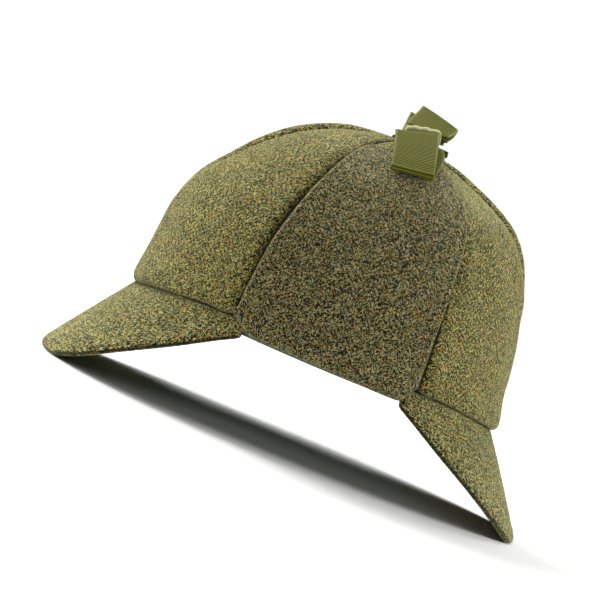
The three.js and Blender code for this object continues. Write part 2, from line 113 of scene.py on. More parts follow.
def crown_point(turn, up):
    """Point on the smooth crown; turn 0 is the front, a quarter turn the wearer's left."""
    front, back, side = ring_at(up)
    k = flatten(turn, up)
    c = np.cos(turn)
    return np.stack([side * np.sin(turn) * k, -np.where(c >= 0, front, back) * c * k, RIM + up + 0 * c], -1)


def reach_at(turn, up):
    """Level distance of the smooth crown from its middle line."""
    front, back, side = ring_at(up)
    return np.hypot(side * np.sin(turn), np.where(np.cos(turn) > 0, front, back) * np.cos(turn))


def unit(v):
    return v / np.maximum(np.linalg.norm(v, axis=-1, keepdims=True), 1e-12)


def crown_normal(turn, up):
    """Way straight out of the smooth crown, from points a little to each side of the place."""
    aside, above = 0.01, 0.4
    h = np.minimum(up, TOP_UP - above)
    around = crown_point(turn + aside, h) - crown_point(turn - aside, h)
    rise = crown_point(turn, np.minimum(h + above, TOP_UP)) - crown_point(turn, h - above)
    return unit(np.cross(around, rise))


def along_steps(points, axis):
    """Distance along a grid of points from its first row (axis 0) or column (axis 1)."""
    step = np.linalg.norm(np.diff(points, axis=axis), axis=-1)
    start = np.zeros_like(step.take([0], axis=axis))
    return np.concatenate([start, np.cumsum(step, axis=axis)], axis=axis)


def lay_grid(name, points, weave, painted_shade):
    """
    A grid primitive with its corners moved to points, and its map laid in weave, in mm. Faces
    whose corners are all marked as painted shade get the second material, the others the first.
    """
    rows, columns = points.shape[:2]
    bpy.ops.object.select_all(action="DESELECT")
    bpy.ops.mesh.primitive_grid_add(x_subdivisions=columns - 1, y_subdivisions=rows - 1, size=2)
    piece = bpy.context.object
    piece.name = piece.data.name = name
    mesh = piece.data
    at = np.empty(3 * len(mesh.vertices))
    mesh.vertices.foreach_get("co", at)
    at = at.reshape(-1, 3)
    i = np.rint((at[:, 0] + 1) / 2 * (columns - 1)).astype(int)
    j = np.rint((at[:, 1] + 1) / 2 * (rows - 1)).astype(int)
    mesh.vertices.foreach_set("co", (points[j, i] / 1000).ravel())
    corner = np.empty(len(mesh.loops), int)
    mesh.loops.foreach_get("vertex_index", corner)
    mesh.uv_layers[0].name = "weave"
    mesh.uv_layers[0].data.foreach_set("uv", weave[j, i][corner].ravel())
    mesh.polygons.foreach_set("material_index", painted_shade[j, i][corner].reshape(-1, 4).all(1).astype(int))
    return piece


def sew(name, outer, inner, weave, materials, painted_shade=None):
    """
    Thick cloth: an outer and an inner face of points that meet along their free edges. The
    materials are the outer one, the near-black one painted on the marked faces as shade, and the inner one.
    """
    plain = np.zeros(outer.shape[:2], bool)
    piece = lay_grid(name, outer, weave, plain if painted_shade is None else painted_shade)
    facing = lay_grid(name + "_facing", inner, weave, plain)
    facing.data.polygons.foreach_set("material_index", np.full(len(facing.data.polygons), len(materials) - 1))
    for part in (piece, facing):
        for material in materials:
            part.data.materials.append(material)
    piece.select_set(True)
    bpy.context.view_layer.objects.active = piece
    bpy.ops.object.join()
    bpy.ops.object.mode_set(mode="EDIT")
    bpy.ops.mesh.select_all(action="SELECT")
    bpy.ops.mesh.remove_doubles(threshold=1e-5)
    bpy.ops.mesh.dissolve_degenerate(threshold=1e-6)
    bpy.ops.mesh.normals_make_consistent(inside=False)
    bpy.ops.object.mode_set(mode="OBJECT")
    bpy.ops.object.shade_smooth()
    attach(piece, "root")
    return piece


def rounded(distance, radius):
    """Share of the full thickness at a distance from an edge that is turned in a round."""
    d = np.clip(distance / radius, 0, 1)
    return np.sqrt(np.maximum(0, 1 - (1 - d) ** 2))


def bell(distance, width):
    """A smooth bump: one at no distance, nearly nothing at twice the width."""
    return np.exp(-((distance / width) ** 2))


def close_border(outer, inner):
    """Brings the inner face's border onto the outer face's, all the way round."""
    for border in ((0, slice(None)), (-1, slice(None)), (slice(None), 0), (slice(None), -1)):
        inner[border] = outer[border]


def edge_columns(steps, half_wide, fill):
    """Distances across a panel, close together at both edges, in fill steps between."""
    middle = np.linspace(steps[-1], 2 * half_wide - steps[-1], fill + 2)[1:-1]
    return np.concatenate([steps, middle, 2 * half_wide - steps[::-1]])


def linear(colour):
    """sRGB hex to linear."""
    c = np.array([int(colour[k : k + 2], 16) / 255 for k in (1, 3, 5)])
    c = np.where(c <= 0.04045, c / 12.92, ((c + 0.055) / 1.055) ** 2.4)
    return (*c.tolist(), 1.0)


def add_node(tree, kind, settings=(), links=()):
    """Adds a node, fills its settings, and links its sockets from other nodes' outputs."""
    node = tree.nodes.new("ShaderNode" + kind)
    for key, value in dict(settings).items():
        if key == "stops":
            ramp = node.color_ramp.elements
            while len(ramp) < len(value):
                ramp.new(0.5)
            for stop, (place, colour) in zip(ramp, value):
                stop.position = place
                stop.color = linear(colour)
        elif key == "steps":
            node.color_ramp.interpolation = value
        elif isinstance(key, int) or key in node.inputs:
            node.inputs[key].default_value = value
        else:
            setattr(node, key, value)
    for key, output in dict(links).items():
        tree.links.new(output, node.inputs[key])
    return node


def new_material(name):
    """An empty cloth or paper material, its node tree and its shader."""
    material = bpy.data.materials.new(name)
    material.use_nodes = True
    tree = material.node_tree
    return material, tree, tree.nodes["Principled BSDF"]


# Wool tweed woven in 2/2 herringbone, eight ends to a stripe, of flecked carded yarn: matt and
# fuzzy. Each yarn is a blend of dyed wools, so its lightness and tint change all along it, and
# the herringbone only just shows through the flecks. Yarns are drawn a little coarser than real
# ones, which are too fine to be told apart at the distance the hat is seen from.
YARN = 0.8
STRIPE = 8
TUFT = (0.4, 0.66)  # of fibre: width and length
WOOL = [
    (0.16, "#050503"), (0.36, "#29270f"), (0.52, "#625f38"), (0.68, "#a29c6a"), (0.82, "#d8d3a4"),
    (0.96, "#fffce6"),
]
# What each thing adds to a yarn's lightness, and what is taken off their sum; round adds painted shade,
# lighter along a float's middle and darker at its sides
LIGHTNESS = {"wools": 0.24, "warp": 0.20, "nub": 0.42, "tuft": 1.40, "round": 0.30, "less": 0.82}
# Tints of the dyed wools: most of them undyed, then straw, rust, blue, heather and moss
FLECKS = [
    (0.00, "#fffdf0"), (0.36, "#f8ffe6"), (0.52, "#ffeab8"), (0.68, "#ffc8a0"), (0.72, "#d6eae4"),
    (0.84, "#e6deea"), (0.93, "#e0f2c4"),
]
# Share of red, green and blue that the last dye leaves
CROWN_DYE, PEAK_DYE, FLAP_DYE = (0.52, 0.49, 0.28), (0.51, 0.495, 0.31), (0.48, 0.45, 0.39)
SEAM_SHADE_DYE = (0.10, 0.095, 0.07)  # painted shade: cloth in seams, on the roll and along turned edges drawn near black where shade falls


def tweed(name, dye):
    material, tree, cloth = new_material(name)
    place = add_node(tree, "UVMap", {"uv_map": "weave"})
    drift = add_node(tree, "TexNoise", {"noise_dimensions": "2D", "Scale": 0.25, "Detail": 1},
                     {"Vector": place.outputs[0]})
    pull = add_node(tree, "VectorMath", {"operation": "MULTIPLY_ADD", 1: (0.9, 0.9, 0)},
                    {0: drift.outputs["Color"], 2: place.outputs[0]})
    count = add_node(tree, "VectorMath", {"operation": "SCALE", "Scale": 1 / YARN},
                     {0: pull.outputs[0]})
    cell = add_node(tree, "VectorMath", {"operation": "FLOOR"}, {0: count.outputs[0]})
    inside = add_node(tree, "VectorMath", {"operation": "FRACTION"}, {0: count.outputs[0]})
    end_pick = add_node(tree, "SeparateXYZ", {}, {0: cell.outputs[0]})
    part = add_node(tree, "SeparateXYZ", {}, {0: inside.outputs[0]})

    def maths(operation, a, b=0.0, c=0.0):
        node = add_node(tree, "Math", {"operation": operation})
        for k, value in enumerate((a, b, c)):
            if isinstance(value, float):
                node.inputs[k].default_value = value
            else:
                tree.links.new(value, node.inputs[k])
        return node.outputs[0]

    end, pick = end_pick.outputs[0], end_pick.outputs[1]
    # The twill line turns back at each stripe of ends, which makes the herringbone
    turned = maths("FLOOR", maths("PINGPONG", maths("ADD", end, 0.5), float(STRIPE)))
    line = maths("ADD", turned, pick)
    over = maths("LESS_THAN", maths("FLOORED_MODULO", line, 4.0), 1.5)
    stripe = maths("FLOOR", maths("DIVIDE", end, float(STRIPE)))
    repeat = maths("FLOOR", maths("DIVIDE", line, 4.0))
    seed = add_node(tree, "CombineXYZ", {}, {
        0: maths("MULTIPLY_ADD", over, maths("SUBTRACT", end, pick), pick),
        1: maths("MULTIPLY_ADD", stripe, 31.0, repeat),
        2: maths("MULTIPLY", over, 7.0),
    })
    float_random = add_node(tree, "TexWhiteNoise", {"noise_dimensions": "3D"},
                            {"Vector": seed.outputs[0]})
    wools = add_node(tree, "SeparateColor", {}, {0: float_random.outputs["Color"]})
    nub = add_node(tree, "TexWhiteNoise", {"noise_dimensions": "2D"}, {"Vector": cell.outputs[0]})
    # Tufts of fibre, longer than wide, lying along the twill line
    across_up = add_node(tree, "SeparateXYZ", {}, {0: pull.outputs[0]})
    hand = maths("MULTIPLY_ADD", maths("FLOORED_MODULO", stripe, 2.0), -2.0, 1.0)
    climb = maths("MULTIPLY", hand, across_up.outputs[1])
    tuft_cell = add_node(tree, "CombineXYZ", {2: 0.0}, {
        0: maths("FLOOR", maths("DIVIDE", maths("ADD", across_up.outputs[0], climb), TUFT[0] * 2**0.5)),
        1: maths("FLOOR", maths("DIVIDE", maths("SUBTRACT", across_up.outputs[0], climb), TUFT[1] * 2**0.5))})
    tuft = add_node(tree, "TexWhiteNoise", {"noise_dimensions": "2D"},
                    {"Vector": tuft_cell.outputs[0]})
    hair = add_node(tree, "TexNoise", {
        "noise_dimensions": "2D", "Scale": 2.2, "Detail": 2, "Roughness": 0.6}, {"Vector": place.outputs[0]})
    # Each float of yarn is round: highest along its middle, sunk at its sides. The height raises the bump and
    # also paints the float lighter along its middle and darker at its sides, as painted shade
    round_warp = maths("PINGPONG", maths("MULTIPLY", part.outputs[0], 2.0), 1.0)
    round_weft = maths("PINGPONG", maths("MULTIPLY", part.outputs[1], 2.0), 1.0)
    high = maths("SQRT", maths("MULTIPLY_ADD", over, maths("SUBTRACT", round_warp, round_weft),
                               round_weft))
    blend = maths("MULTIPLY", over, LIGHTNESS["warp"])
    blend = maths("MULTIPLY_ADD", wools.outputs[0], LIGHTNESS["wools"], blend)
    blend = maths("MULTIPLY_ADD", nub.outputs["Value"], LIGHTNESS["nub"], blend)
    blend = maths("MULTIPLY_ADD", tuft.outputs["Value"], LIGHTNESS["tuft"], blend)
    blend = maths("MULTIPLY_ADD", high, LIGHTNESS["round"], maths("SUBTRACT", blend, LIGHTNESS["less"]))
    wool = add_node(tree, "ValToRGB", {"stops": WOOL}, {0: blend})
    fleck = add_node(tree, "ValToRGB", {"stops": FLECKS, "steps": "CONSTANT"}, {0: wools.outputs[1]})
    yarn = add_node(tree, "Mix", {"data_type": "RGBA", "blend_type": "MULTIPLY", 0: 1.0},
                    {6: wool.outputs[0], 7: fleck.outputs[0]})
    mottle = add_node(tree, "TexNoise", {"noise_dimensions": "2D", "Scale": 0.22, "Detail": 3},
                      {"Vector": place.outputs[0]})
    hue = add_node(tree, "ValToRGB", {"stops": [
        (0.32, "#cddad2"), (0.48, "#f6f4e6"), (0.60, "#fff4d0"), (0.74, "#f2d8b0")]},
        {0: mottle.outputs["Fac"]})
    tinted = add_node(tree, "Mix", {"data_type": "RGBA", "blend_type": "MULTIPLY", 0: 1.0},
                      {6: yarn.outputs[2], 7: hue.outputs[0]})
    colour = add_node(tree, "VectorMath", {"operation": "MULTIPLY", 1: dye},
                      {0: tinted.outputs[2]})
    lay = maths("MULTIPLY_ADD", hair.outputs["Fac"], 0.8, maths("MULTIPLY", high, 0.7))
    bump = add_node(tree, "Bump", {"Strength": 0.9, "Distance": 0.0004}, {"Height": lay})
    tree.links.new(colour.outputs[0], cloth.inputs["Base Color"])
    tree.links.new(bump.outputs[0], cloth.inputs["Normal"])
    cloth.inputs["Roughness"].default_value = 0.95
    cloth.inputs["Specular IOR Level"].default_value = 0.15
    cloth.inputs["Sheen Weight"].default_value = 0.45
    cloth.inputs["Sheen Roughness"].default_value = 0.45
    cloth.inputs["Sheen Tint"].default_value = linear("#d2d6ac")
    return material


# Viscose lining in plain weave, smooth and slightly shiny, dark green
LINING = "#1c3527"


def lining(name, colour, thread):
    """Smooth yarn cloth; thread is the width of one streak of slubs, in mm."""
    material, tree, cloth = new_material(name)
    place = add_node(tree, "UVMap", {"uv_map": "weave"})
    slub = add_node(tree, "Mapping", {"Scale": (1 / thread, 0.12, 1)}, {0: place.outputs[0]})
    streak = add_node(tree, "TexNoise", {"noise_dimensions": "2D", "Scale": 1, "Detail": 2},
                      {"Vector": slub.outputs[0]})
    deep = tuple(0.7 * c for c in linear(colour)[:3])
    pale = tuple(1.5 * c for c in linear(colour)[:3])
    tone = add_node(tree, "Mix", {"data_type": "RGBA", 6: (*deep, 1), 7: (*pale, 1)},
                    {0: streak.outputs["Fac"]})
    bump = add_node(tree, "Bump", {"Strength": 0.35, "Distance": 0.0002},
                    {"Height": streak.outputs["Fac"]})
    tree.links.new(tone.outputs[2], cloth.inputs["Base Color"])
    tree.links.new(bump.outputs[0], cloth.inputs["Normal"])
    cloth.inputs["Roughness"].default_value = 0.42
    cloth.inputs["Specular IOR Level"].default_value = 0.5
    cloth.inputs["Sheen Weight"].default_value = 0.3
    return material


crown_tweed = tweed("tweed_herringbone_crown", CROWN_DYE)
# Painted shade: the same tweed dyed near black, laid on seams, the lower roll and turned edges to stand for
# the shade in them
seam_shade_tweed = tweed("tweed_painted_seam_shade", SEAM_SHADE_DYE)
crown_lining = lining("viscose_lining_green", LINING, 0.4)

# Rows run from inside the roll, round it, and up to the apex; columns from seam to seam
SEAM_STEPS = np.array([0, 0.12, 0.4, 0.85, 1.4, 2.0, 2.8, 3.7, 4.8, 6.2, 8.0])
GORE_FILL = 40
# Below this turn the roll is also painted near black as shade
ROLL_HIDDEN = np.radians(-64)  # turn of the roll below which it lies in the peak's seam
roll_turns = np.radians(np.linspace(-145, -8, 15))
crown_path = np.concatenate([[0], np.cumsum(np.hypot(
    np.diff(crown_fine[:, 0]), np.diff(crown_fine[:, 1:].mean(1))))])
first_up = np.interp(ROLL, crown_fine[:, 0], crown_path)
path_rows = np.linspace(first_up, crown_path[-1] - 0.8, 84)
crown_rows = np.interp(path_rows, crown_path, crown_fine[:, 0])

# Cloth beside a seam: the puff over its allowance, the pull of the stitches, and the valley
# between two panels (heights, then distances from the seam)
PUFF, PUFF_AT, PUFF_WIDE = 0.4, 8, 5
PULL, PULL_WIDE = 0.9, 3.4
VALLEY, VALLEY_WIDE = 1.75, 1.9
PUCKER, PUCKER_WIDE = 0.13, 4.5
SOFT, SOFT_FROM = 0.45, 14  # slow waves over the panels, clear of the seams
# The seam over the middle leans: a ridge stands to its right, and the left panels sink to it
RIDGE_LEFT, RIDGE_LEFT_AT, RIDGE_RIGHT, RIDGE_RIGHT_AT = 0.2, 3.4, 2.1, 5.5
LEAN, LEAN_LEFT, LEAN_RIGHT = 1.9, 9.0, 1.6
# The seams in front of the flaps fall deeper, and gape where the flap's edge stands loose
DEEPER, DEEPER_WIDE = 0.9, 0.6
GAPE, GAPE_WIDE = 3.2, 9


def gore(name, first):
    """One panel of the crown; first is the turn to its first seam, in degrees from the front."""
    columns = 2 * len(SEAM_STEPS) + GORE_FILL
    ups = np.concatenate([np.full(len(roll_turns), ROLL), crown_rows])[:, None]
    ahead = np.radians(first + 30)
    half = reach_at(ahead, ups) * GORE_TURN / 2
    shrink = np.minimum(1, half / (1.2 * SEAM_STEPS[-1]))
    spread = np.stack([
        edge_columns(SEAM_STEPS * small, wide, GORE_FILL) / wide - 1
        for small, wide in zip(shrink[:, 0], half[:, 0])])
    turn = ahead + spread * GORE_TURN / 2
    up = ups + seam_up(turn) * (1 - ease((ups - ROLL) / 55))
    reach = reach_at(turn, up)
    away = (1 - np.abs(spread)) * GORE_TURN / 2 * reach
    off_apex = ease((reach - 4) / 20)
    run = along_steps(crown_point(turn, up), 0)
    on_left, in_front = np.sin(turn) > 0, np.cos(turn) > 0
    middle_seam = np.where(spread < 0, first % 180 == 0, (first + 60) % 180 == 0).astype(bool)
    over_top = middle_seam * ease((reach - 8) / 30)
    lean = LEAN * bell(away, np.where(on_left, LEAN_LEFT, LEAN_RIGHT)) * over_top * ease((up - 60) / 45)
    crest = 1 - np.abs(away / np.where(on_left, RIDGE_LEFT_AT, RIDGE_RIGHT_AT) - 1)
    ridge = np.maximum(0, crest) * over_top * ease((up - 60) / 50)
    pucker = np.sin(run / 1.45 + first) + 0.6 * np.sin(run / 3.1 + 2 * first)
    soft = np.sin(run / 21 + spread * 3 + first) * np.cos(spread * 4.2 + run / 33 + 0.7 * first)
    stand = (
        PUFF * bell(away - PUFF_AT, PUFF_WIDE) * off_apex
        - PULL * bell(away, PULL_WIDE) * off_apex
        + np.where(on_left, RIDGE_LEFT, RIDGE_RIGHT) * ridge
        - lean
        - PUCKER * (1 + pucker) * np.exp(-away / PUCKER_WIDE) * off_apex
        + SOFT * soft * ease(away / SOFT_FROM) * off_apex
    )
    # The seams in front of the flaps: the side panel sinks under the flap's loose edge
    side_seam = ~middle_seam * in_front * ease((up - 12) / 40)
    gape = ~middle_seam * in_front * ease((up - 4) / 36) * (1 - ease((up - 72) / 34))
    under_flap = np.abs(np.cos(ahead)) < 0.1
    valley = 1 - rounded(away, VALLEY_WIDE + DEEPER_WIDE * side_seam)
    sunk = np.maximum(valley, (1 - ease(away / GAPE_WIDE)) * gape)
    valley = np.where(under_flap & (gape > 0), sunk, valley)
    stand = stand - (VALLEY + DEEPER * side_seam + GAPE * gape) * valley * np.minimum(1, reach / 6)
    normal = crown_normal(turn, up)
    base = crown_point(turn, up)
    outer = base + normal * stand[..., None]
    clear = (1.4 * side_seam + 3.4 * gape) * bell(away, GAPE_WIDE) + 1.4 * lean
    inner = base - normal * (WALL + clear)[..., None]
    # The roll: the cloth goes round under itself and in over the seam of the peak
    n = len(roll_turns)
    level = unit(normal[n] * [1, 1, 0])
    centre = base[n] - level * ROLL
    for j, a in enumerate(roll_turns):
        for face, radius in ((outer, ROLL + stand[n]), (inner, ROLL - WALL + 0 * away[n])):
            round_it = level * (radius * np.cos(a))[..., None]
            face[j] = centre + round_it + np.array([0, 0, 1]) * (radius * np.sin(a))[..., None]
    close_border(outer, inner)
    around = along_steps(outer, 1)
    u = around - around[:, [columns // 2]]
    v = along_steps(outer, 0)[:, [columns // 2]] + 0 * u
    # Painted shade: faces close to each seam, a wide band along the gaping seam in front of each flap, and
    # the lower roll get the near-black tweed
    seam_shade_width = np.where(under_flap & in_front, 6 * gape, 0.9 + 0.25 * pucker)
    painted_shade = (away < np.maximum(seam_shade_width, 0.9)) & (reach > 5)
    painted_shade[: np.searchsorted(roll_turns, ROLL_HIDDEN)] = True
    weave = np.stack([u + 7 * first, v], -1)
    piece = sew(name, outer, inner, weave, [crown_tweed, seam_shade_tweed, crown_lining], painted_shade)
    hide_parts(name.replace("panel_", "gore_"))


GORES = ["front_left", "side_left", "back_left", "back_right", "side_right", "front_right"]
for k, place in enumerate(GORES):
    gore("panel_" + place, 60 * k)


# ---------------------------------------------------------------- peaks
# Stiff front and back peaks: tweed over card, the edges turned, joined and topstitched. Each
# is sewn into the crown's lower seam and slopes down and out from it.
SLOPE = np.radians(54.5)
PEAK_THICK = 4.0
PEAK_END = 65.2
PRESS = 0.45
PEAK_ROUND, PEAK_CORNER = 3.6, 2.2  # rounding of the lower edge and of the two ends
PEAK_STITCH = 3.1  # topstitching, in from the edge
ROOT_LONG = 1.3  # out along the slope, before its own rows begin
# The root, hidden under the crown's roll: distance out from the seam, top and underside
PEAK_ROOT = [(-2.6, -2.2, -2.2), (-2.2, -0.9, -3.6), (-1.2, -0.4, -4.4), (-0.1, -0.42, -4.9)]
# Rows close together near the lower edge, in from it
PEAK_STEPS = np.array([0, 0.15, 0.5, 1.0, 1.6, 2.3, 2.8, 3.2, 3.6, 4.0, 4.6, 5.6, 7.0])
# Turn from centre, height of the lower edge at the front and at the back
PEAK_EDGE = [
    (13, 0.0, 0.0), (18, 0.5, 1.8), (24, 4.2, 7.6), (30, 9.6, 13.5), (40, 21.4, 23.8),
    (50, 33.4, 34.2), (60, 46.0, 45.4), (66, 52.4, 51.6),
]
edge_fine = smooth_rows([(0, 0.0, 0.0), *PEAK_EDGE])
peak_tweed = tweed("tweed_herringbone_peaks", PEAK_DYE)


def peak(name, node, side):
    part = np.linspace(-1, 1, 141)
    turn = np.radians(PEAK_END * part * (0.86 + 0.14 * part**2))
    edge = np.interp(np.abs(np.degrees(turn)), edge_fine[:, 0], edge_fine[:, 1 if side < 0 else 2])
    edge = np.where(np.abs(np.degrees(turn)) < PEAK_EDGE[0][0], 0, np.maximum(0, edge))
    start = seam_up(turn) + RIM
    half = PEAK_THICK / 2
    long = (start - edge + PRESS - half - half * np.cos(SLOPE)) / np.sin(SLOPE)
    seam = np.stack([RIM_WIDE * np.sin(turn), side * RIM_LONG * np.cos(turn), start], -1)
    out = unit(np.stack([np.sin(turn) / RIM_WIDE, side * np.cos(turn) / RIM_LONG, 0 * turn], -1))
    # Flat pattern of the peak: the seam unrolled as a curve, and rows square to it
    run = along_steps(seam[:, None], 0)[:, 0]
    bend = np.unwrap(np.arctan2(out[:, 0], -side * out[:, 1])) * np.cos(SLOPE)
    step = np.diff(run, prepend=run[0])
    laid = np.stack([np.cumsum(step * np.cos(bend)), np.cumsum(step * np.sin(bend))], -1)

    def place(away, up):
        point = seam + out * away[:, None]
        point[:, 2] = np.maximum(0, seam[:, 2] + up)
        return point

    def slope_at(along, over):
        return (along * np.cos(SLOPE) + over * np.sin(SLOPE), -along * np.sin(SLOPE) + over * np.cos(SLOPE))

    outer, inner = [], []
    thin = rounded(np.minimum(run, run[-1] - run), PEAK_CORNER)
    for away, up, under in PEAK_ROOT:
        outer.append(place(away + 0 * run, up * thin))
        inner.append(place(away + 0 * run, np.minimum(under * thin, up * thin)))
    usable = np.maximum(long - ROOT_LONG, 0.5)
    room = np.minimum(1, usable / (1.3 * PEAK_STEPS[-1]))
    full = ROOT_LONG + usable + half * room
    body = np.linspace(0, 1, 26)[:-1]
    alongs = [ROOT_LONG + (usable - PEAK_STEPS[-1] * room) * part_down for part_down in body]
    alongs += [full - step_in * room for step_in in PEAK_STEPS[::-1]]
    for along in alongs:
        d = full - along
        share = rounded(d / np.maximum(room, 0.05), PEAK_ROUND) * thin
        groove = 0.38 * bell(d - PEAK_STITCH, 0.55)
        swell = 0.22 * np.exp(-(((d - 5.0) / 1.6) ** 2)) + 0.16 * np.exp(-(((d - 1.6) / 0.9) ** 2))
        wave = 0.35 * np.sin(run / 17 + along / 23) * np.clip(along / 20, 0, 1) * np.clip(d / 12, 0, 1)
        over = half * (share - 1) + (swell - groove + wave) * thin
        under = -half - half * share + (groove * 0.8 + wave * 0.5) * thin
        outer.append(place(*slope_at(along, over)))
        inner.append(place(*slope_at(along, np.minimum(under, over))))
    outer, inner = np.array(outer), np.array(inner)
    close_border(outer, inner)
    down = along_steps(outer, 0) + PEAK_ROOT[0][0]
    flat_way = np.stack([np.sin(bend), -np.cos(bend)], -1)
    weave = laid[None] + down[..., None] * flat_way[None]
    # Painted shade: the last rows round the lower edge get the near-black tweed, standing for the shade under
    # the edge
    painted_shade = np.zeros(outer.shape[:2], bool)
    painted_shade[-4:] = True
    piece = sew(name, outer, inner, weave + [0, 300 * side], [peak_tweed, seam_shade_tweed, peak_tweed], painted_shade)
    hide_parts(node)


peak("front_peak_cloth", "front_peak", -1)
peak("back_peak_cloth", "back_peak", 1)


# ---------------------------------------------------------------- ear flaps
# Two tweed flaps hang from the lower seam at the sides. Each is turned up in a soft fold and
# held against the crown by the ribbons; its free edge is turned and stitched 4 mm in.
FLAP_THICK, FLAP_GAP, FLAP_INSIDE, FLAP_RISE = 3.4, 1.2, 0.2, 4.5
FLAP_TOP = 73.0
FLAP_TOP_STEPS = np.array([4.0, 3.5, 3.0, 2.6, 2.2, 1.8, 1.4, 1.0, 0.62, 0.32, 0.12, 0])
FLAP_STITCH = 3.9  # in from the free edge
FLAP_LOOSE = 0.9  # how far the front edge stands off at mid height
# Turn about the front-back line through the rim, front edge and back edge
FLAP_EDGE = [
    (0, -52.0, 48.5), (13, -52.2, 48.8), (26, -51.0, 48.8), (37, -48.3, 48.2), (51, -41.0, 46.6),
    (59, -34.6, 44.3), (65, -29.0, 39.6), (69, -24.6, 33.0), (71.6, -20.8, 25.0), (73, -15.5, 14.0),
]
# Lower outline: place along the hat, height above the rim
FLAP_FOOT = [
    (-52, 10.0), (-46, 6.0), (-42.5, 3.2), (-38.5, 2.2), (0, 2.2), (38, 1.2), (43.2, 1.2),
    (46, 6.6), (50, 12.0),
]
FLAP_HINGE = (-43.4, 43.6)
flap_fine = smooth_rows(FLAP_EDGE)
foot_fine = np.array(FLAP_FOOT)
flap_tweed = tweed("tweed_herringbone_flaps", FLAP_DYE)


def crown_across(y, lift):
    """Turn and height where the crown is met at a turn about the front-back line."""
    shape = np.broadcast(y, lift).shape
    low, high = np.full(shape, 5.0), np.full(shape, 150.0)
    for _ in range(34):
        reach = (low + high) / 2
        x, h = reach * np.cos(lift), reach * np.sin(lift)
        front, back, side = ring_at(np.minimum(h, 127.7))
        c = -y / np.where(y < 0, front, back)
        s = x / side
        turn = np.arctan2(s, c)
        within = (h < 127.7) & (np.hypot(s, c) < flatten(turn, h))
        low, high = np.where(within, reach, low), np.where(within, high, reach)
    return turn, low * np.sin(lift)


def at_height(y, up):
    front, back, _ = ring_at(up)
    plain = -y / np.where(y < 0, front, back)
    turn = np.arccos(plain)
    for _ in range(10):
        turn = np.arccos(np.clip(plain / flatten(turn, up), -1, 1))
    return turn


